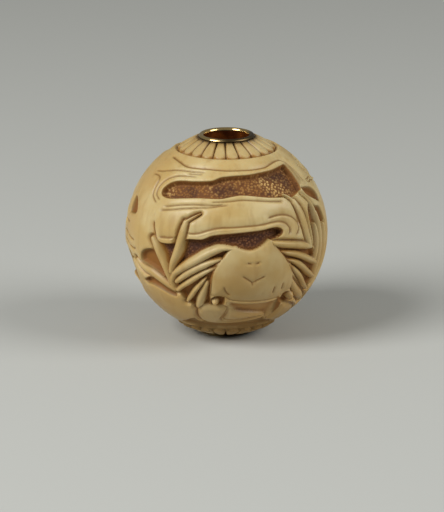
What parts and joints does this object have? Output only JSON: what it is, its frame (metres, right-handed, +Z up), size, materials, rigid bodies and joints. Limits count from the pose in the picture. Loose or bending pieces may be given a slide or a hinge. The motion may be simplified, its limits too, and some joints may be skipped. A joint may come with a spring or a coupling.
{
  "type": "carved bead",
  "caption": "Round carved cord bead with crabs among waves in low relief, petal collars and a metal-lined cord hole.",
  "frame": {"origin": "on the hole's axis, at the flat land of the lower rim that the bead stands on", "axes": "+Z up along the cord hole, -Y towards the side with the large crab seen in the picture"},
  "size_m": [0.0174, 0.0174, 0.0175],
  "materials": {
    "ivory": "old ivory, softly polished, brown stain in the sunken grounds",
    "brass": "rubbed gilt brass"
  },
  "bodies": {
    "root": {"bead_body": "ivory", "lining_tube": "brass", "upper_rim": "brass", "lower_rim": "brass"}
  },
  "joints": []
}
